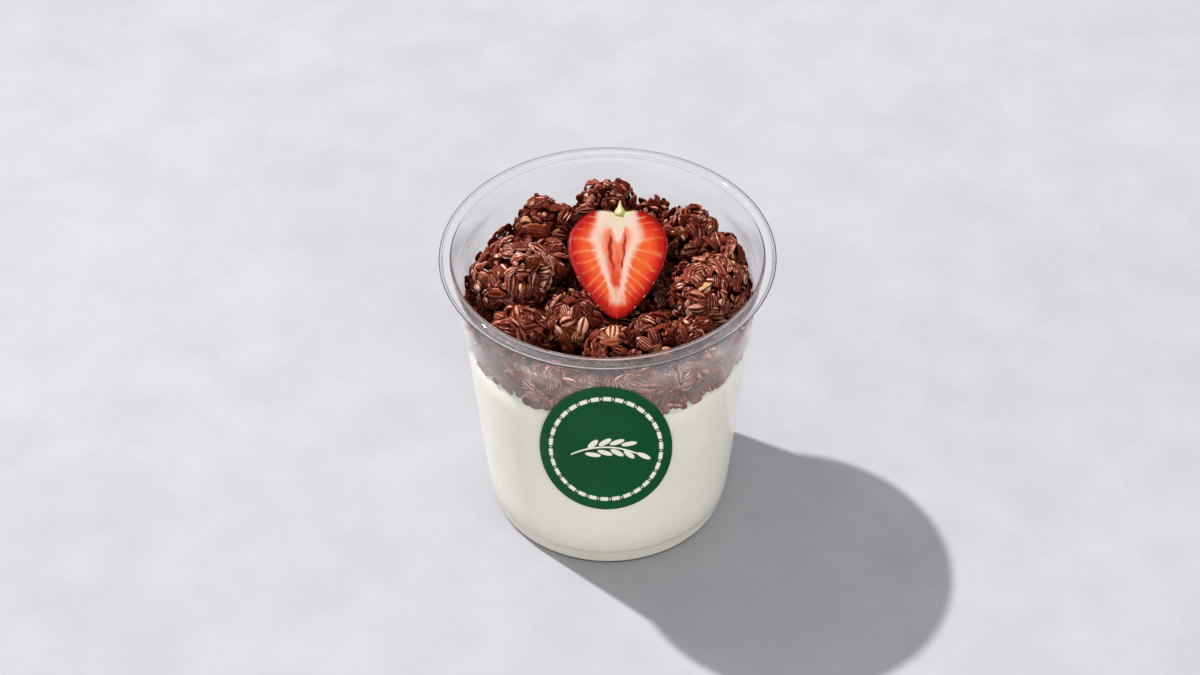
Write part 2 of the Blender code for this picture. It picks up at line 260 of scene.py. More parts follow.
def granola_finish(name, painted_shade_low):
    """Chocolate-coated oats: painted shade in the grooves; ridges and edges paler, partly their own colour
    and partly a painted highlight.

    The last argument is how much painted shade darkens the oats low in the heap.
    """
    finish = Finish(name)
    here = finish.here()
    tone, ridge = finish.stored("tone"), finish.stored("ridge")
    fibre, speck, patch = here.grain(1.4, 4.0, 0.65), here.grain(1.3), here.grain(0.1)
    low = here.axis("Z").between(88.0, 77.0)
    dark = finish.blend((0.06, 0.0045, 0.0016), (0.19, 0.03, 0.013), tone)
    worn_and_highlit = finish.blend((0.58, 0.185, 0.11), (0.96, 0.62, 0.48), tone)
    # Ridges and edges are paler, partly their own colour and partly a painted highlight.
    wear_and_highlight = (ridge + 0.8 * (fibre - 0.5) + 0.4 * (patch - 0.5)).between(0.48, 1.02)
    colour = finish.blend(dark, (0.34, 0.08, 0.036), wear_and_highlight)
    colour = finish.blend(colour, worn_and_highlit, wear_and_highlight * wear_and_highlight * (0.72 + 0.28 * tone))
    tan = finish.blend((0.24, 0.075, 0.028), (0.62, 0.34, 0.2), (ridge + fibre).between(0.75, 1.25))
    colour = finish.blend(colour, tan, tone.between(0.955, 0.975))
    # Painted shade: the grooves between the ridges are darkened.
    groove = 1.0 - (ridge + 0.3 * (fibre - 0.5)).between(0.0, 0.45)
    colour = finish.multiply(colour, (0.2, 0.05, 0.03), (0.45 + 0.55 * painted_shade_low) * groove)
    # Painted shade: oats low in the heap are darker, as far as the last argument says.
    colour = finish.multiply(colour, (0.6, 0.54, 0.5), painted_shade_low * low)
    return finish.surface(
        colour, 0.4 + 0.2 * fibre, fibre.bump(0.14), 0.05,
        Coat_Weight=(0.7 * speck.between(0.64, 0.7)).larger(0.75 * wear_and_highlight), Coat_Roughness=0.26
    )


def painted_shade_core_finish():
    # Painted shade: the core shows only in the gaps between flakes, and it is near-black as the shade there.
    finish = Finish("granola_core_painted_shade")
    crumb = finish.here().grain(0.8, 4.0, 0.7)
    colour = finish.blend((0.006, 0.0004, 0.0002), (0.03, 0.0025, 0.001), crumb.between(0.4, 0.75))
    return finish.surface(colour, 0.8, crumb.bump(0.5), 0.02)


def strawberry_finish():
    """Flesh and skin of the strawberry half, from numbers kept on its mesh."""
    finish = Finish("strawberry")
    here = finish.here()
    names = "rind", "band", "fan", "across", "along", "skin", "slit"
    rind, band, fan, across, along, skin, slit = map(finish.stored, names)
    broad, soft = here.grain(0.13) - 0.5, here.grain(0.32) - 0.5
    fine = here.grain(1.3, 3.0, 0.6) - 0.5
    streaks = here.stretched((1.6, 0.25, 1.0)).grain(0.8, 3.0, 0.6) - 0.5
    ragged = along + 3.0 * soft
    # Flesh outside the pale band: deep red at the skin, orange towards the band.
    inside = (rind + 2.0 * soft + 2.0 * broad).between(0.2, 6.4)
    reds = (0.21, 0.002, 0.001), (0.31, 0.0055, 0.0022), (0.42, 0.032, 0.0055), (0.46, 0.066, 0.014)
    flesh = finish.node("ValToRGB", {"stops": tuple(zip((0.0, 0.2, 0.55, 1.0), reds))}, {"Fac": inside})
    # Pale veins that fan out of the band, each fading towards the skin.
    place = ((fan + 3.2 * broad + 0.5 * soft) / 2.5 + 40.0).maths("FRACT")
    vein = place.ridge(0.5, 0.21) * rind.between(0.4, 2.2) * band.between(-0.3, 0.3)
    vein = vein * along.between(-15.0, -11.0) * (soft + broad).between(-0.3, 0.1)
    vein = vein * (1.0 - 0.6 * band.between(1.5, 7.0))
    flesh = finish.blend(flesh, (0.5, 0.165, 0.075), 0.9 * vein)
    # Core inside the band, streaked along the fruit.
    streaky = (streaks + 0.035 * along).between(-0.25, 0.3)
    core = finish.blend((0.4, 0.032, 0.01), (0.48, 0.12, 0.055), streaky)
    colour = finish.blend(core, flesh, band.between(-0.5, 0.5))
    # The pale band itself, ragged where the veins leave it.
    half = (1.18 + 0.06 * along).smaller(1.75).larger(0.7)
    reach = (abs(band + 1.3 * soft + 0.6 * fine) - 0.8 * vein * band.between(-0.2, 0.4)) / half
    pale = (1.0 - reach.between(0.0, 1.85)) * ragged.between(-15.5, -11.5)
    low_core = (2.3 - abs(across) + 2.0 * soft).between(-0.7, 0.7) * ragged.between(-15.5, -12.0)
    low_core = low_core * (-8.2 - along + 2.0 * soft).between(-1.2, 1.2)
    # Cream under the stalk, running down the middle, and green beside the stalk.
    cap = ragged.between(10.6, 13.6)
    cap = cap * (1.0 - (abs(across + 0.3) + 3.0 * soft + 1.5 * broad).between(4.0, 6.8))
    column = ((0.55 + 0.26 * (along - 6.8)) - abs(across - 0.1) + 1.2 * fine + soft).between(-0.6, 0.6)
    column = column * (along + 2.0 * soft).between(5.6, 8.4)
    green = (along - 0.9 * abs(across - 0.7) + 2.0 * soft).between(12.5, 16.0)
    # The slits are painted deep red: partly the flesh's own colour there, partly painted shade in the
    # hollows.
    slit = (slit + 0.5 * fine + 0.3 * streaks).between(0.2, 0.66)
    paints = (
        ((0.49, 0.325, 0.255), pale), ((0.47, 0.27, 0.2), 0.75 * low_core),
        ((0.46, 0.355, 0.29), cap.larger(column)), ((0.43, 0.4, 0.19), 0.7 * green),
        ((0.19, 0.0035, 0.001), 0.9 * slit),
    )
    for paint, share in paints:
        colour = finish.blend(colour, paint, share)
    red = finish.blend((0.19, 0.0018, 0.001), (0.29, 0.006, 0.003), soft.between(-0.2, 0.2))
    pale_end = (along + 3.0 * broad).between(15.6, 17.6) * abs(across - STALK_ASIDE).between(7.0, 4.0)
    red = finish.blend(red, (0.44, 0.33, 0.22), pale_end * here.axis("Z").between(-3.6, -1.2))
    colour = finish.blend(colour, red, skin)
    return finish.surface(
        colour, 0.42 + 0.3 * fine, (fine + 0.5 * vein + streaks).bump(0.08), 0.06,
        Coat_Weight=0.02 + 0.25 * skin, Coat_Roughness=0.14
    )


def seed_finish():
    finish = Finish("strawberry_seed")
    grain = finish.here().grain(2.2, 3.0, 0.6)
    colour = finish.blend((0.3, 0.06, 0.02), (0.48, 0.26, 0.11), grain.between(0.35, 0.65))
    return finish.surface(colour, 0.25 + 0.1 * grain, Coat_Weight=0.5)


def stalk_finish():
    finish = Finish("strawberry_stalk")
    streak = finish.here().stretched((1.0, 0.2, 1.0)).grain(1.5, 3.0, 0.6)
    along = finish.stored("along")
    colour = finish.blend((0.36, 0.34, 0.11), (0.48, 0.45, 0.22), streak.between(0.35, 0.65))
    colour = finish.blend(colour, (0.3, 0.25, 0.1), along.between(0.6, 1.0))
    return finish.surface(colour, 0.42 + 0.2 * streak, streak.bump(0.15))


def oval(across, up, middle, half_sizes, turn):
    """Mask of a small printed oval, in millimetres on the sticker."""
    dx, dy = across - middle[0], up - middle[1]
    cos, sin = math.cos(turn), math.sin(turn)
    along = (dx * cos + dy * sin) / half_sizes[0]
    aside = (dy * cos - dx * sin) / half_sizes[1]
    return 1.0 - (along * along + aside * aside).between(0.82, 1.18)


def sticker_finish():
    """Green paper with a cream ring of dashes and a sprig of oats."""
    finish = Finish("green_sticker")
    across, up = finish.stored("across"), finish.stored("up")
    fibre, wash = finish.here().grain(2.5, 4.0, 0.6), finish.here().grain(0.05)
    green = finish.blend((0.002, 0.061, 0.018), (0.0035, 0.073, 0.024), wash.between(0.3, 0.7))
    green = finish.blend(green, (0.01, 0.095, 0.036), 0.25 * fibre.between(0.5, 0.8))
    # Dashes and dots in turn, on an oval inside the edge.
    u, v = across / (STICKER_WIDTH / 2), up / (STICKER_HEIGHT / 2)
    from_ring = abs((u * u + v * v).maths("SQRT") - RING_SHARE)
    turn = (v.maths("ARCTAN2", v, u) / (2 * math.pi) * RING_DASHES + RING_DASHES).maths("FRACT")
    dash = (0.34 - abs(turn - 0.36)).between(-0.03, 0.03) * (0.03 - from_ring).between(-0.008, 0.008)
    dot_place, dot_out = abs(turn - 0.86) / 0.055, from_ring / 0.02
    dot = 1.0 - (dot_place * dot_place + dot_out * dot_out).between(0.8, 1.3)
    marks = dash.larger(dot)
    # The sprig: a bowed stem with grains in pairs and one at its end.
    off_stem = abs(up + STEM_BOW * across * across - STEM_TOP)
    stem = (0.34 - off_stem).between(-0.1, 0.1) * (10.2 - abs(across)).between(-0.2, 0.2)
    marks = marks.larger(stem)
    for pair in range(4):
        x = -5.6 + 3.5 * pair
        for side in (-1, 1):
            lean = math.radians(34 * side) - 2 * STEM_BOW * x
            middle = (x + 1.9, STEM_TOP - STEM_BOW * x * x + side * 2.35)
            marks = marks.larger(oval(across, up, middle, (2.3, 0.95), lean))
    marks = marks.larger(oval(across, up, (11.2, -2.7), (2.4, 0.95), math.radians(-38)))
    colour = finish.blend(green, (0.8, 0.78, 0.66), marks)
    return finish.surface(colour, 0.46 + 0.12 * fibre, fibre.bump(0.02), 0.08)


def floor_finish():
    finish = Finish("pale_floor")
    here = finish.here()
    broad, patch = here.grain(0.0045, 4.0, 0.55), here.grain(0.035, 5.0, 0.62)
    grit = here.grain(0.9, 4.0, 0.7)
    level = 0.35 * broad.between(0.3, 0.7) + 0.45 * patch.between(0.32, 0.68) + 0.2 * grit
    colour = finish.blend((0.328, 0.326, 0.35), (0.388, 0.386, 0.41), level)
    # Painted light falloff: the floor darkens towards the right and the front.
    away = finish.node("VectorMath", {"operation": "DOT_PRODUCT"}, {0: here, 1: (0.9, -0.45, 0.0)}, "Value")
    colour = finish.multiply(colour, (0.86, 0.86, 0.89), away.between(-350.0, 700.0))
    return finish.surface(colour, 0.75, (grit + patch).bump(0.08), 0.2)


# ---- mesh helpers


def placed(name, data):
    thing = bpy.data.objects.new(name, data)
    bpy.context.scene.collection.objects.link(thing)
    return thing


def add_piece(mesh, finishes, nodes):
    """Put a finished mesh in the scene under its own name, riding on the part's one body."""
    piece = placed(mesh.name, mesh)
    for finish in finishes:
        mesh.materials.append(finish)
    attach(piece, "root")
    if nodes:
        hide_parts(*nodes)
    return piece


def store(mesh, stored):
    """Keep numbers, by name, at each point of a mesh."""
    for key, values in stored.items():
        attribute = mesh.attributes.new(key, "FLOAT", "POINT")
        attribute.data.foreach_set("value", np.asarray(values, np.float32).ravel())


def from_bmesh(bm, mesh):
    bm.to_mesh(mesh)
    bm.free()
    mesh.shade_smooth()
    return mesh


def closed(mesh, weld):
    """Join points nearer than weld, in millimetres, close the ends and turn all faces outward."""
    bm = bmesh.new()
    bm.from_mesh(mesh)
    bmesh.ops.remove_doubles(bm, verts=bm.verts, dist=weld * MM)
    bmesh.ops.holes_fill(bm, edges=[edge for edge in bm.edges if edge.is_boundary], sides=0)
    bmesh.ops.recalc_face_normals(bm, faces=bm.faces)
    return from_bmesh(bm, mesh)


def grid_quads(high, wide, start=0):
    """Faces between the points of a grid whose rows hold wide points each."""
    corners = [start + i * wide + j for i in range(high - 1) for j in range(wide - 1)]
    return [(a, a + 1, a + wide + 1, a + wide) for a in corners]


def quad_mesh(name, points, quads, stored=None):
    """A mesh from arrays of points, in millimetres, and four-cornered faces."""
    mesh = bpy.data.meshes.new(name)
    mesh.vertices.add(len(points))
    mesh.vertices.foreach_set("co", (np.asarray(points, float) * MM).ravel())
    mesh.loops.add(len(quads) * 4)
    mesh.loops.foreach_set("vertex_index", np.asarray(quads, np.int32).ravel())
    mesh.polygons.add(len(quads))
    mesh.polygons.foreach_set("loop_start", np.arange(0, len(quads) * 4, 4, dtype=np.int32))
    store(mesh, stored or {})
    mesh.update(calc_edges=True)
    mesh.shade_smooth()
    return mesh


def turned_mesh(name, profile, lift=None, stored=None):
    """Turn a profile of (radius, height) about Z, raised by lift, and join its seams."""
    radius, height = np.transpose(profile)[..., None]
    angle = np.linspace(0, 2 * math.pi, TURN_STEPS + 1)
    z = height + (lift(radius, height, angle) if lift else 0 * angle)
    points = np.stack([radius * np.cos(angle), radius * np.sin(angle), z], -1).reshape(-1, 3)
    return closed(quad_mesh(name, points, grid_quads(len(profile), TURN_STEPS + 1), stored), SEAM)


def arc(centre, radii, start, end, steps):
    """Points on an arc from one angle to another, in degrees."""
    angles = [math.radians(start + (end - start) * step / steps) for step in range(steps + 1)]
    return [(centre[0] + radii[0] * math.cos(a), centre[1] + radii[1] * math.sin(a)) for a in angles]


def rounded(path, passes):
    """Cut a path's corners again and again, so that they turn softly."""
    for _ in range(passes):
        softer = [path[0]]
        for (r0, z0), (r1, z1) in zip(path, path[1:]):
            softer.append((r0 + (r1 - r0) / 4, z0 + (z1 - z0) / 4))
            softer.append((r1 + (r0 - r1) / 4, z1 + (z0 - z1) / 4))
        path = softer + [path[-1]]
    return path


def offset_inward(path, distance):
    """The path's other side, at one distance or at one for each point."""
    along = unit(np.gradient(path, axis=0))
    moved = path + np.stack([along[:, 1], -along[:, 0]], 1) * np.reshape(distance, (-1, 1))
    return np.maximum(moved, (0.0, -np.inf))


def wall_radius(height):
    """Outside radius of the straight wall."""
    return WALL_FOOT_RADIUS + WALL_SPREAD * (height - WALL_FOOT_HEIGHT)


def inner_radius(height):
    return wall_radius(np.minimum(height, SHOULDER_HEIGHT)) - WALL_SHEET


def sheet_thickness(height):
    """Thinner at the rim than in the wall."""
    return np.interp(height, (SHOULDER_HEIGHT, NECK_TOP), (WALL_SHEET, RIM_SHEET))


# ---- pot and yogurt


def foot_path():
    outer_turn = FOOT_RADIUS - FOOT_CORNER
    inner_turn = outer_turn - FOOT_FLAT
    path = [(wall_radius(9.0), 9.0), (WALL_FOOT_RADIUS, WALL_FOOT_HEIGHT), FOOT_BAND]
    path = rounded(path, 2)
    path += arc((outer_turn, FOOT_CORNER), (FOOT_CORNER, FOOT_CORNER), 0, -90, 8)
    path += arc((inner_turn, FOOT_CORNER), (FOOT_CORNER, FOOT_CORNER), -90, -180, 8)
    return path + [(reach, BASE_RISE) for reach in (inner_turn - 2 * FOOT_CORNER, 24.0, 12.0, 0.0)]


def pot_path():
    """Outer side of the plastic, from the end of the rolled rim to the base."""
    half_width, half_height = CURL_WIDTH / 2, CURL_HEIGHT / 2
    centre = (RIM_RADIUS - half_width, POT_HEIGHT - half_height)
    curl = arc(centre, (half_width - RIM_SHEET, half_height - RIM_SHEET), CURL_END, 180, 28)
    neck = [curl[-1], FLARE, (NECK_RADIUS, NECK_TOP), (NECK_RADIUS, NECK_BOTTOM)]
    neck += [(wall_radius(SHOULDER_HEIGHT), SHOULDER_HEIGHT), (wall_radius(82.0), 82.0)]
    wall = [(wall_radius(z), z) for z in (70.0, 50.0, 30.0, 15.0)]
    return curl + rounded(neck, 3)[1:] + wall + foot_path()


def make_pot(finish):
    outer = np.array(pot_path())
    inner = offset_inward(outer, sheet_thickness(outer[:, 1]))
    profile = np.concatenate([outer, inner[::-1], outer[:1]])
    outside = np.arange(len(profile)) % (len(profile) - 1) < len(outer)
    mesh = turned_mesh("clear_pot", profile, stored={"outside": np.repeat(outside, TURN_STEPS + 1)})
    add_piece(mesh, [finish], ["pot"])


def ripple(angle, ripples):
    return sum(size * np.cos(waves * angle + phase) for waves, size, phase in ripples)


def make_yogurt(finish):
    """Yogurt that reaches just into the plastic, drawn back a little where oats hang over it."""
    foot = offset_inward(foot_path(), WALL_SHEET - INTO_WALL)
    side = [(inner_radius(z) + INTO_WALL, float(z)) for z in (66, 60, 50, 40, 30, 20, 12)]
    brow_radius = inner_radius(LAYER_HEIGHT) - 1.0
    brow = [(brow_radius - 0.1, LAYER_HEIGHT + 0.9), (brow_radius, LAYER_HEIGHT)]
    brow += [(inner_radius(67.4) - 0.8, 67.4), (inner_radius(66.6) - 0.2, 66.6)]
    top = [(0.0, LAYER_HEIGHT - 0.6), (20.0, LAYER_HEIGHT - 0.6), (36.0, LAYER_HEIGHT - 0.2)]

    def layered(radius, height, angle):
        share = np.clip((height - 62.0) / (LAYER_HEIGHT - 62.0), 0, 1) * (radius / 40.0) ** 3
        return share * ripple(angle, LAYER_RIPPLES)

    mesh = turned_mesh("yogurt_filling", np.concatenate([top, brow, side, foot]), layered)
    add_piece(mesh, [finish], ["yogurt"])


# ---- strawberry


def berry_placing():
    turn = Euler((BERRY_TILT, 0, 0)).to_matrix() @ Matrix.Rotation(BERRY_TURN, 3, "Z")
    return Matrix.Translation(BERRY_CENTRE) @ turn.to_4x4()


def on_berry(piece):
    placing = berry_placing()
    placing.translation *= MM
    piece.matrix_world = placing


def berry_point(along_angle, around):
    """Points of the strawberry's skin, from the stalk end's angle and the angle round it."""
    along = np.cos(along_angle)
    fullness = np.sin(along_angle) * (1 + BERRY_TAPER * along)
    x = BERRY_WIDTH / 2 * fullness * np.cos(around)
    z = -BERRY_DEPTH * fullness * np.sin(around)
    return np.stack([x, notched(x, BERRY_LENGTH / 2 * along, z), z], -1)


def notched(x, y, z):
    """Sink the stalk end's middle and square its shoulders a little."""
    near_end = np.clip(y / (BERRY_LENGTH / 2), 0, 1) ** 6
    notch = BERRY_NOTCH * np.exp(-((x**2 + z**2) / BERRY_NOTCH_RADIUS**2))
    shoulder = BERRY_SHOULDER * np.exp(-(((np.abs(x) - 8.8) / 3.2) ** 2) - (z / 6.0) ** 2)
    return y + near_end * (shoulder - notch)


def in_berry(points, swell=0.3):
    """Where points, in millimetres, lie in the half strawberry or over its cut face."""
    inverse = np.array(berry_placing().inverted())
    local = points @ inverse[:3, :3].T + inverse[:3, 3]
    along = local[..., 1] / (BERRY_LENGTH / 2 + swell)
    fullness = 1 + BERRY_TAPER * np.clip(along, -1, 1)
    across = local[..., 0] / (fullness * (BERRY_WIDTH / 2 + swell))
    down = np.minimum(local[..., 2], 0) / (fullness * (BERRY_DEPTH + swell))
    return across**2 + down**2 + along**2 < 1


def outline_distance(x, y):
    """How far face points, in the berry's own plane, lie inside its outline."""
    edge = berry_point(np.linspace(0, math.pi, 240), 0.0)
    return np.hypot(np.abs(x)[..., None] - edge[:, 0], y[..., None] - edge[:, 1]).min(-1)


def band_reach(along):
    """Half distance between the two arms of the pale band."""
    return np.clip(np.minimum(4.3 + 0.27 * along - 0.003 * along**2, 9.5 - 0.35 * along), 0.0, None)


def face_band(x, y):
    """How far face points lie outside the pale band, whose right arm sits nearer the middle."""
    return np.abs(x) - band_reach(y) + RIGHT_ARM_IN * (x > 0) * np.exp(-(((y - 1.5) / 8.5) ** 2))


def vein_root(x, y):
    """Where along the pale band the vein through each face point begins."""
    root = y.copy()
    for _ in range(16):
        slope = np.clip((6.5 - root) / 8, -0.25, 1.3)
        guess = y + slope * np.clip(face_band(x, root), 0, None)
        root += 0.4 * (guess - root)
    return root


def slit_depth(x, y):
    """The hollows in the core, as a mask of 0 to 1."""
    x = x + 0.16 * np.sin(1.4 * y) + 0.05 * np.sin(4.1 * y + 1.0)

    def hollow(middle, half_width, half_length, lean):
        dy = y - middle[1]
        dx = x - middle[0] - lean * dy
        return np.exp(-0.8 * ((dx / half_width) ** 2 + (dy / half_length) ** 2) ** 1.5)

    left = hollow((-2.15, 5.3), 0.66, 4.3, 0.0), hollow((-1.4, -0.2), 0.34, 2.2, -0.16)
    right = hollow((2.05, 5.4), 0.42, 4.6, 0.06), hollow((1.25, -0.6), 0.32, 1.4, 0.1)
    return np.clip(sum(left + right), 0, 1)


def seed_places():
    """Angles along and round the berry where its seeds sit, a few on the cut's edge."""
    places = []
    for row in range(11):
        along_angle = math.radians(24 + row * 13.6)
        girth = math.sin(along_angle) * (1 + BERRY_TAPER * math.cos(along_angle))
        count = max(3, round(13 * girth))
        for seat in range(count):
            around = math.pi * (seat + 0.5 * (row % 2) + 0.25) / count
            if 0.12 < around < math.pi - 0.12:
                places.append((along_angle, around))
    for side, shift in ((0.06, 5.0), (math.pi - 0.06, 0.0)):
        for step in range(6):
            places.append((math.radians(46 + shift + 19.0 * step + 3.0 * math.sin(5.0 * step + shift)), side))
    return np.array(places)


def make_strawberry(finish):
    rows, skin_columns, face_columns = 131, 73, 121
    along_angles = np.linspace(0.012, math.pi - 0.012, rows)[:, None]
    # Skin, dimpled under its seeds: rows along, columns round from one side of the face to the other.
    skin = berry_point(along_angles, np.linspace(0, math.pi, skin_columns)[None])
    gaps = np.linalg.norm(skin[:, :, None] - berry_point(*seed_places().T), axis=-1).min(-1)
    dimple = SEED_DIMPLE * np.exp(-((gaps / 0.62) ** 2))
    dimple[:, [0, -1]] = 0
    skin -= unit(skin * (1, 0.3, 1)) * dimple[..., None]
    # Face: the same rows, columns straight across.
    share = np.linspace(1, -1, face_columns)
    share = 0.7 * share + 0.3 * np.sin(share * math.pi / 2)
    x = BERRY_WIDTH / 2 * np.sin(along_angles) * (1 + BERRY_TAPER * np.cos(along_angles)) * share
    y = notched(x, BERRY_LENGTH / 2 * np.cos(along_angles), 0)
    z = -0.45 * np.clip(1 - outline_distance(x, y) / 1.1, 0, 1) ** 2 - 0.12 * slit_depth(x, y)
    z += 0.1 * np.exp(-((face_band(x, y) / 1.2) ** 2))
    face = np.stack([x, y, z], -1)
    face[:, 0], face[:, -1] = skin[:, 0], skin[:, -1]

    points = np.concatenate([skin.reshape(-1, 3), face[:, ::-1].reshape(-1, 3)])
    quads = grid_quads(rows, skin_columns) + grid_quads(rows, face_columns, rows * skin_columns)
    on_face = np.arange(len(points)) >= rows * skin_columns
    x, y = points[:, 0], points[:, 1]
    stored = {"across": x, "along": y, "skin": ~on_face, "band": face_band(x, y)}
    stored["fan"] = vein_root(x, y) + 1.3 * np.sign(x)
    stored["rind"] = outline_distance(x, y) * on_face
    stored["slit"] = slit_depth(x, y) * on_face
    mesh = closed(quad_mesh("strawberry_half_fruit", points, quads, stored), 0.004)
    on_berry(add_piece(mesh, [finish], ["strawberry_half"]))


def make_seeds(finish):
    """Small pointed grains lying on the skin."""
    bm = bmesh.new()
    step = 1e-3
    for along_angle, round_angle in seed_places():
        here = berry_point(along_angle, round_angle)
        along = Vector(berry_point(along_angle + step, round_angle) - here).normalized()
        aside = Vector(berry_point(along_angle, round_angle + step) - here).normalized()
        up = along.cross(aside).normalized()
        if up.dot(Vector(here) * Vector((1, 0.2, 1))) < 0:
            up = -up
        turn = Matrix((along, up.cross(along), up)).transposed().to_4x4()
        size = 1.0 + 0.15 * math.sin(37.0 * along_angle + 11.0 * round_angle)
        shape = Matrix.Diagonal((*(Vector(SEED_HALF_SIZES) * size), 1.0))
        place = Matrix.Translation(Vector(here) - up * 0.12) @ turn @ shape
        bmesh.ops.create_uvsphere(bm, u_segments=10, v_segments=7, radius=1.0, matrix=place)
    bmesh.ops.scale(bm, verts=bm.verts, vec=(MM, MM, MM))
    mesh = from_bmesh(bm, bpy.data.meshes.new("strawberry_seeds"))
    on_berry(add_piece(mesh, [finish], ()))


def make_stalk(finish):
    """A short ridged stub that ends in a thin point."""
    lengths = np.array([-1.2, -0.6, 0.2, 0.9, 1.5, 2.1, 2.8, 3.5, 4.2, 4.4])
    radii = np.array([1.3, 1.65, 1.6, 1.25, 0.95, 0.7, 0.48, 0.34, 0.22, 0.02])
    steps = 31
    angles = np.linspace(0, 2 * math.pi, steps)
    ridged = radii[:, None] * (1 + 0.13 * np.cos(5 * angles + 0.4 * lengths[:, None]))
    x, z = ridged * np.cos(angles) + STALK_ASIDE, 0.8 * ridged * np.sin(angles) - 0.45
    y = np.repeat(lengths[:, None] + BERRY_LENGTH / 2 - BERRY_NOTCH, steps, 1)
    quads = grid_quads(len(lengths), steps)
    along = np.repeat((lengths - lengths[0]) / np.ptp(lengths), steps)
    points = np.stack([x, y, z], -1).reshape(-1, 3)
    mesh = closed(quad_mesh("strawberry_stalk_stub", points, quads, {"along": along}), SEAM)
    on_berry(add_piece(mesh, [finish], ["strawberry_stalk"]))


# ---- granola

SWIRL_SEED = 5
CLUSTER_CORE, BED_CORE = (1.6, 1.6), (1.7, 0.6)  # how far cores are drawn in
KIND_SHARES = (0.34, 0.26, 0.24, 0.16)  # four ridges, three ridges, split bean, five ridges
FLAKE_GRID, CRUMB_GRID = (7, 11), (5, 7)  # points along and across
# Painted light: how much paler, or darker below 0, each cluster is made, to even out how the lamps light the
# clusters.
PALER_CLUSTERS = {
    "cluster_left": 0.1, "cluster_right": 0.06, "cluster_back_left": -0.1,
    "cluster_front": -0.06, "cluster_front_middle_left": -0.06, "cluster_front_middle_right": -0.06,
}


def flake_quads(long, wide):
    """Faces of one closed flake: an upper and a lower sheet, joined round the edge."""
    upper, lower = np.arange(2 * long * wide).reshape(2, long, wide)
    above = upper[:-1, :-1], upper[1:, :-1], upper[1:, 1:], upper[:-1, 1:]
    below = lower[:-1, :-1], lower[:-1, 1:], lower[1:, 1:], lower[1:, :-1]
    top, foot = (np.concatenate([s[:, 0], s[-1, 1:], s[-2::-1, -1], s[0, -2:0:-1]]) for s in (upper, lower))
    border = np.roll(top, -1), top, foot, np.roll(foot, -1)
    return np.concatenate([np.stack(faces, -1).reshape(-1, 4) for faces in (above, below, border)])


def flake_shapes(rng, length, width, ball, plump, long, wide):
    """Corner points of rolled oats about their own middles, and how pale each point is, partly its own colour
    and partly a painted highlight.

    length and width hold one number for each flake, ball how round the heap under it is, and plump
    its thickness as a share of its width. long and wide say how many points run along and across each.
    """
    count = len(length)
    kind = rng.choice(len(KIND_SHARES), count, p=KIND_SHARES)
    thick = (plump * width * rng.uniform(0.8, 1.2, count))[:, None, None]
    taper, bend, twist = (rng.normal(0, spread, (count, 1, 1)) for spread in (0.14, 0.03, 0.18))
    u = 0.98 * np.sin(np.linspace(-math.pi / 2, math.pi / 2, long))[None, :, None]
    v = np.linspace(-1, 1, wide)[None, None, :]
    outline = (1 - np.abs(u) ** 2.6) ** 0.5 * (1 + taper * u)
    fade = np.sqrt(1 - 0.9 * u**2)
    domed = np.sqrt(1 - 0.95 * v**2)
    x = length[:, None, None] / 2 * u * (1 - 0.12 * v**2)
    y = width[:, None, None] / 2 * outline * v
    relief = [0.5 - 0.5 * np.cos(4 * np.pi * v), 0.5 + 0.5 * np.cos(3 * np.pi * v)]
    relief += [1 - np.exp(-((v / 0.25) ** 2)), 0.5 + 0.5 * np.cos(5 * np.pi * v)]
    relief = np.concatenate(relief)[kind]
    upper = thick * domed * fade * (0.35 + 0.65 * relief)
    lower = -0.45 * thick * domed * fade
    curl = bend * x**2 + twist * u * y - (x**2 + y**2) * (ball[:, None, None] / 2)
    shapes = np.stack([np.stack(np.broadcast_arrays(x, y, sheet + curl), -1) for sheet in (upper, lower)], 1)
    shapes += rng.normal(0, 0.045, shapes.shape)
    # How pale each point is: ridges and edges partly their own colour, partly a painted highlight; the
    # underside less.
    wear_and_highlight = np.empty(shapes.shape[:-1])
    wear_and_highlight[:, 0] = relief * domed**0.5 * rng.uniform(0.65, 1.05, (count, 1, 1))
    wear_and_highlight[:, 1] = 0.3
    wear_and_highlight = np.maximum(wear_and_highlight, v**6 * fade * rng.uniform(0.3, 1.0, (count, 1, 1, 1)))
    return shapes.reshape(count, -1, 3), wear_and_highlight.reshape(count, -1)


def spaced(spots, spacing):
    """Which spots to keep, taken in turn, so that none lies nearer to another than spacing."""
    taken = []
    for index in range(len(spots)):
        if not taken or np.linalg.norm(spots[taken] - spots[index], axis=1).min() > spacing:
            taken.append(index)
    return taken


def scattered(mesh, spacing, rng, keep):
    """Points spread evenly over a mesh, each with the direction that its face looks."""
    mesh.calc_loop_triangles()
    corners = np.array([[mesh.vertices[v].co for v in t.vertices] for t in mesh.loop_triangles]) / MM
    cross = np.cross(corners[:, 1] - corners[:, 0], corners[:, 2] - corners[:, 0])
    area = np.linalg.norm(cross, axis=1)
    count = int(area.sum() / 2 / spacing**2 * 5)
    chosen = rng.choice(len(area), count, p=area / area.sum())
    a, b = rng.random((2, count, 1))
    flip = a + b > 1
    a, b = np.where(flip, 1 - a, a), np.where(flip, 1 - b, b)
    first, second, third = corners[chosen].transpose(1, 0, 2)
    spots = first + a * (second - first) + b * (third - first)
    looks = cross[chosen] / area[chosen, None]
    good = keep(spots, looks)
    taken = np.flatnonzero(good)[spaced(spots[good], spacing)]
    return spots[taken], looks[taken]


def unit(vectors):
    return vectors / np.maximum(np.linalg.norm(vectors, axis=-1, keepdims=True), 1e-9)


def turned_about(axis, angle, vectors):
    """Turn each vector about its own axis by its own angle."""
    cos, sin = np.cos(angle)[:, None], np.sin(angle)[:, None]
    dot = np.sum(axis * vectors, axis=1, keepdims=True)
    return vectors * cos + np.cross(axis, vectors) * sin + axis * dot * (1 - cos)


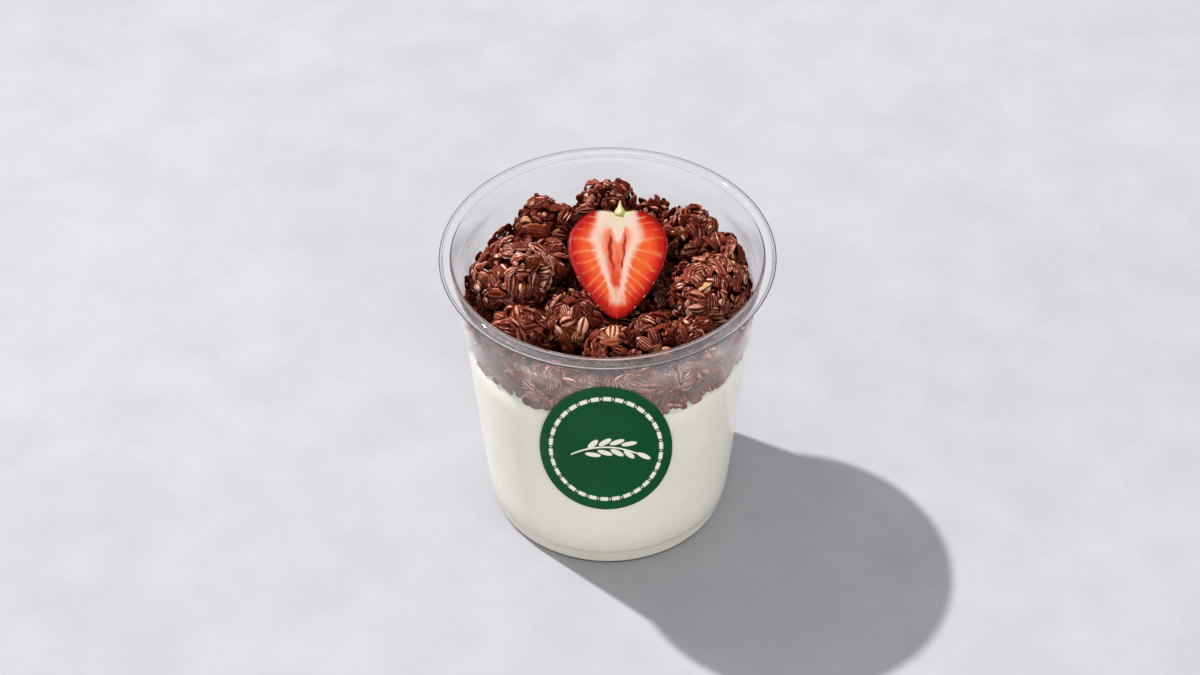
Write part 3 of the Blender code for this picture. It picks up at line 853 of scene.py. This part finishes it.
def lay_flakes(spots, looks, rng, sizes, lean, sink, wall_limit, seed, stacked=0.0, ball=0.0, crumbs=False):
    """Place flakes on spots in swirls, some in stacks on edge, all held in by the wall.

    Gives their points, how pale each point is with its painted highlight, each flake's tone, and the faces of
    one.
    Crumbs are plumper and made of fewer faces.
    """
    stack = rng.random(len(spots)) < stacked
    repeats = np.where(stack, 3, 1)
    owner = np.repeat(np.arange(len(spots)), repeats)
    seat = np.concatenate([np.arange(n) - (n - 1) / 2 for n in repeats])
    count = len(owner)
    on_edge = stack[owner]
    base_length = rng.uniform(*sizes, len(spots))[owner] * np.where(on_edge, 0.85, 1.0)
    length = base_length * rng.uniform(0.9, 1.1, count)
    slimness = (0.62, 0.88) if crumbs else (0.56, 0.76)
    width = length * rng.uniform(*slimness, count) * np.where(on_edge, 0.8, 1.0)
    grid = CRUMB_GRID if crumbs else FLAKE_GRID
    plump = np.where(on_edge, 0.27, 0.45 if crumbs else 0.25)
    shapes, wear_and_highlight = flake_shapes(rng, length, width, np.where(on_edge, 0.25, 1.0) * ball, plump, *grid)
    shift = Vector((seed, 3.1 * seed, 0))
    swirl = np.array([noise.noise_vector(Vector(spot) * 0.16 + shift) for spot in spots])
    run = unit(swirl - looks * np.sum(swirl * looks, axis=1, keepdims=True))
    run = turned_about(looks, rng.normal(0, 0.8, len(spots)), run)[owner]
    run = turned_about(looks[owner], rng.normal(0, 0.1, count), run)
    flat_lean = np.clip(rng.normal(0, lean, len(spots)), -0.9, 0.9)
    edge_lean = rng.choice((-1, 1), len(spots)) * rng.uniform(0.75, 1.25, len(spots))
    tip = np.where(stack, edge_lean, flat_lean)[owner] + rng.normal(0, 0.08, count)
    tipped = turned_about(run, tip, looks[owner])
    side = np.cross(tipped, run)
    run = turned_about(side, rng.normal(0, lean * 0.3, len(spots))[owner], run)
    tipped = np.cross(run, side)
    depth = (sink + rng.uniform(-0.6, 0.6, len(spots)))[owner] + np.where(on_edge, 0.36 * width, 0.0)
    middles = spots[owner] - looks[owner] * depth[:, None] + tipped * (1.15 * seat)[:, None]
    points = middles[:, None] + shapes @ np.stack([run, side, tipped], 1)
    # Press back whatever the wall would stop.
    reach = np.hypot(points[..., 0], points[..., 1])
    limit = inner_radius(points[..., 2]) + wall_limit
    over = np.maximum(reach - (limit - 1), 0)
    held = np.where(over > 0, limit - np.exp(-over), reach)
    points[..., :2] *= (held / np.maximum(reach, 1e-6))[..., None]
    clear = ~in_berry(points).any(axis=1)
    tone = np.clip(rng.random(len(spots))[owner] + rng.normal(0, 0.03, count), 0, 1)
    tone = np.repeat(tone[:, None], points.shape[1], 1)
    return points[clear], wear_and_highlight[clear], tone[clear], flake_quads(*grid)


def heap_flakes(spots_of, rng, seed):
    """Large flakes, then crumbs that fill in between them, all kept off the wall."""
    large = lay_flakes(*spots_of(2.8), rng, (4.2, 6.8), 0.35, 0.5, -0.7, seed, 0.42, 0.09)
    small = lay_flakes(*spots_of(2.2), rng, (1.3, 2.8), 0.7, 0.1, -0.7, seed + 7.0, crumbs=True)
    return [large, small]


def painted_light_shift(layers, paler):
    """Paint light onto flakes: paler, or darker below 0, all but the bare oats, whose tone is highest."""
    made = []
    for points, wear_and_highlight, tone, one in layers:
        moved = np.where(tone < 0.95, np.clip(tone + paler, 0, 0.95), tone)
        made.append((points, wear_and_highlight * (1 + paler), moved, one))
    return made


def wall_oats_painted_paler(points, wear_and_highlight, tone, one):
    """Oats against the wall, made paler than the rest as painted light, and palest high at the front, where
    the rim shades them.
    """
    high = np.clip((points[..., 2] - 76.0) / 4.0, 0, 1) * np.clip(-points[..., 1] / 40.0, 0, 1)
    return points, wear_and_highlight * (1 + 0.2 * high), 0.3 + 0.62 * tone, one


def shrunk_core(node, depth, side_depth):
    """A CAD solid drawn in by depth from above and below, and by side_depth from its sides."""
    bm = bmesh.new()
    bm.from_mesh(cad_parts[node].data)
    bmesh.ops.remove_doubles(bm, verts=bm.verts, dist=0.001 * MM)
    bmesh.ops.recalc_face_normals(bm, faces=bm.faces)
    bm.normal_update()
    for vertex in bm.verts:
        vertex.co -= vertex.normal * Vector((side_depth, side_depth, depth)) * MM
    for face in bm.faces:
        face.material_index = 1
    return bm


def granola_piece(name, node, layers, depths, finishes):
    """Join flakes, with a smaller dark core if its depths are given, into a piece that stands for a node."""
    quads, start = [], 0
    for points, _, _, one in layers:
        count, each = points.shape[:2]
        quads.append((one[None] + start + each * np.arange(count)[:, None, None]).reshape(-1, 4))
        start += each * count
    points, wear_and_highlight, tone, _ = zip(*layers)
    points = np.concatenate([layer.reshape(-1, 3) for layer in points])
    wear_and_highlight, tone = (np.concatenate([layer.ravel() for layer in each]) for each in (wear_and_highlight, tone))
    mesh = quad_mesh(name, points, np.concatenate(quads), {"ridge": wear_and_highlight, "tone": tone})
    if depths:
        bm = shrunk_core(node, *depths)
        bm.from_mesh(mesh)
        from_bmesh(bm, mesh)
    add_piece(mesh, finishes, [node])


def bed_height(spots):
    """Height of the CAD bed's upper surface."""
    reach = np.minimum(np.hypot(spots[:, 0], spots[:, 1]) / (inner_radius(BED_EDGE_HEIGHT) - 0.05), 1.0)
    return BED_EDGE_HEIGHT + BED_CROWN * (1 - reach**2)


def make_granola(finishes, wall_finishes):
    noise.seed_set(SWIRL_SEED)  # otherwise the swirls would follow the clock
    balls = {}  # middle and half size of each cluster
    for name in sorted(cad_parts):
        if name.startswith("cluster_"):
            low, high = (np.array(corner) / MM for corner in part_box(name))
            balls[name] = (low + high) / 2, (high - low) / 2

    for number, name in enumerate(balls):
        rng = np.random.default_rng(100 + number)

        def outside(spots, looks):
            clear = ~in_berry(spots, 0.8) & (spots[:, 2] > bed_height(spots) - 1.0) & (looks[:, 2] > -0.6)
            for other in balls.keys() - {name}:
                middle, half = balls[other]
                clear &= (((spots - middle) / (0.86 * half)) ** 2).sum(1) >= 1
            return clear

        def spots_of(spacing):
            return scattered(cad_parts[name].data, spacing, rng, outside)

        layers = painted_light_shift(heap_flakes(spots_of, rng, number + 1.0), PALER_CLUSTERS.get(name, 0.0))
        granola_piece(name + "_flakes", name, layers, CLUSTER_CORE, finishes)

    rng = np.random.default_rng(50)

    def bare_top(spots, looks):
        flat = spots * (1, 1, 0)
        good = (looks[:, 2] > 0.4) & ~in_berry(spots, 0.8)
        for middle, half in balls.values():
            good &= (((flat - middle * (1, 1, 0)) / half) ** 2).sum(1) > 1.1
        return good

    def bed_spots(spacing):
        return scattered(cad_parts["granola_bed"].data, spacing, rng, bare_top)

    granola_piece("granola_bed_flakes", "granola_bed", heap_flakes(bed_spots, rng, 31.0), BED_CORE, finishes)

    def wall_spots(spacing, low_edge, high_edge):
        """Spots against the wall, between heights counted from where the yogurt ends."""
        count = 4500
        angle = rng.uniform(0, 2 * math.pi, count)
        hang = LAYER_HEIGHT + ripple(angle, LAYER_RIPPLES) + ripple(angle, HANG_RIPPLES)
        height = hang + rng.uniform(low_edge, high_edge + FRONT_RISE, count)
        ahead = np.clip((-np.sin(angle) - 0.4) / 0.35, 0, 1)
        lean = SIDE_RISE + (FRONT_RISE - SIDE_RISE) * ahead
        below = height < hang + high_edge + lean * (high_edge > 3.0)
        angle, height = angle[below], height[below]
        radius = inner_radius(height) - 0.1
        spots = np.stack([radius * np.cos(angle), radius * np.sin(angle), height], 1)
        spots = spots[spaced(spots, spacing)]
        looks = unit(spots * (1, 1, 0) - (0, 0, WALL_SPREAD * inner_radius(BED_EDGE_HEIGHT)))
        return spots, looks

    rise = BED_EDGE_HEIGHT + 1.5 - LAYER_HEIGHT
    large = lay_flakes(*wall_spots(3.1, 0.3, rise), rng, (4.2, 6.6), 0.22, 0.3, 0.2, 57.0, 0.12, 0.02)
    low = lay_flakes(*wall_spots(2.5, -0.4, 1.2), rng, (2.8, 4.6), 0.22, 0.15, 0.2, 64.0, crumbs=True)
    small = lay_flakes(*wall_spots(2.6, 0.8, rise), rng, (2.0, 3.4), 0.35, 0.1, 0.2, 71.0, crumbs=True)
    # Painted light: the oats against the wall are made paler, most of all high at the front.
    layers = [wall_oats_painted_paler(*layer) for layer in (large, low, small)]
    granola_piece("granola_wall_flakes", "granola_bed", layers, None, wall_finishes)


# ---- sticker


def make_sticker(finish):
    """Thin oval paper bent round the wall, with its own place stored in millimetres."""
    rings, steps = 26, 128
    share, angle = np.mgrid[1 : rings + 1, 0:steps]
    share, angle = share / rings, angle * 2 * math.pi / steps
    flat = np.stack([share * np.cos(angle), share * np.sin(angle)], -1).reshape(-1, 2)
    flat = np.concatenate([[(0.0, 0.0)], flat])
    across, up = flat[:, 0] * STICKER_WIDTH / 2, flat[:, 1] * STICKER_HEIGHT / 2
    height = STICKER_MIDDLE + up - STICKER_DROOP * flat[:, 0] ** 2
    turn = (STICKER_ARC + across) / wall_radius(height)
    sheets = []
    for lift in (0.16, 0.03):
        radius = wall_radius(height) + lift
        sheets.append(np.stack([radius * np.sin(turn), -radius * np.cos(turn), height], 1))
    size = len(flat)
    faces = []
    for step in range(steps):
        a, b = 1 + step, 1 + (step + 1) % steps
        faces += [(0, a, b), (size, size + b, size + a)]
        for ring in range(rings - 1):
            faces.append((a, a + steps, b + steps, b))
            faces.append((size + a, size + b, size + b + steps, size + a + steps))
            a, b = a + steps, b + steps
        faces.append((a, size + a, size + b, b))
    mesh = bpy.data.meshes.new("round_sticker")
    mesh.from_pydata((np.concatenate(sheets) * MM).tolist(), [], faces)
    store(mesh, {"across": np.tile(across, 2), "up": np.tile(up, 2)})
    mesh.update()
    mesh.shade_smooth()
    mesh.set_sharp_from_angle(angle=math.radians(40))
    add_piece(mesh, [finish], ["sticker"])


# ---- studio

SKY_STRENGTH = 0.76
LAMPS = (  # name, strength, spread in degrees, colour, and the direction it shines from
    ("key_lamp", 4.75, 1.6, (1.0, 0.985, 0.965), (-0.483, 0.331, 0.811)),
    ("fill_lamp", 1.3, 70.0, (1.0, 0.98, 0.96), (0.3, -0.9, 0.3)),
)
CAMERA_PLACE, CAMERA_LENS = Vector((-2.417, -489.08, 510.215)), 66.0
CAMERA_PITCH, CAMERA_ROLL = math.radians(42.56), math.radians(0.5)


def make_floor(finish):
    half, count, level = 3000.0, 25, -0.02
    x, y = np.meshgrid(np.linspace(-half, half, count), np.linspace(-half, half, count))
    points = np.stack([x, y, np.full_like(x, level)], -1).reshape(-1, 3)
    mesh = quad_mesh("studio_floor", points, grid_quads(count, count))
    mesh.materials.append(finish)
    floor = placed("studio_floor", mesh)


def make_lights():
    world = bpy.data.worlds.new("studio")
    bpy.context.scene.world = world
    world.use_nodes = True
    background = world.node_tree.nodes["Background"]
    background.inputs["Color"].default_value = (0.98, 0.985, 1.0, 1.0)
    background.inputs["Strength"].default_value = SKY_STRENGTH
    for name, energy, spread, colour, towards in LAMPS:
        data = bpy.data.lights.new(name, "SUN")
        data.energy, data.angle, data.color = energy, math.radians(spread), colour
        placed(name, data).rotation_euler = Vector(towards).to_track_quat("Z", "Y").to_euler()


def make_camera():
    data = bpy.data.cameras.new("camera")
    data.lens, data.sensor_width = CAMERA_LENS, 36.0
    data.clip_start, data.clip_end = 0.01, 50.0
    camera = placed("camera", data)
    turn = Matrix.Rotation(math.radians(90) - CAMERA_PITCH, 4, "X") @ Matrix.Rotation(-CAMERA_ROLL, 4, "Z")
    camera.matrix_world = Matrix.Translation(CAMERA_PLACE * MM) @ turn
    bpy.context.scene.camera = camera


def build():
    scene = bpy.context.scene
    scene.view_settings.view_transform = "Standard"
    scene.cycles.transparent_max_bounces = 32
    make_pot(clear_plastic())
    make_yogurt(yogurt_finish())
    make_granola(
        [granola_finish("chocolate_granola", 1.0), painted_shade_core_finish()],
        [granola_finish("wall_chocolate_granola_painted_light", 0.0)],
    )
    make_strawberry(strawberry_finish())
    make_seeds(seed_finish())
    make_stalk(stalk_finish())
    make_sticker(sticker_finish())
    make_floor(floor_finish())
    make_lights()
    make_camera()


build()
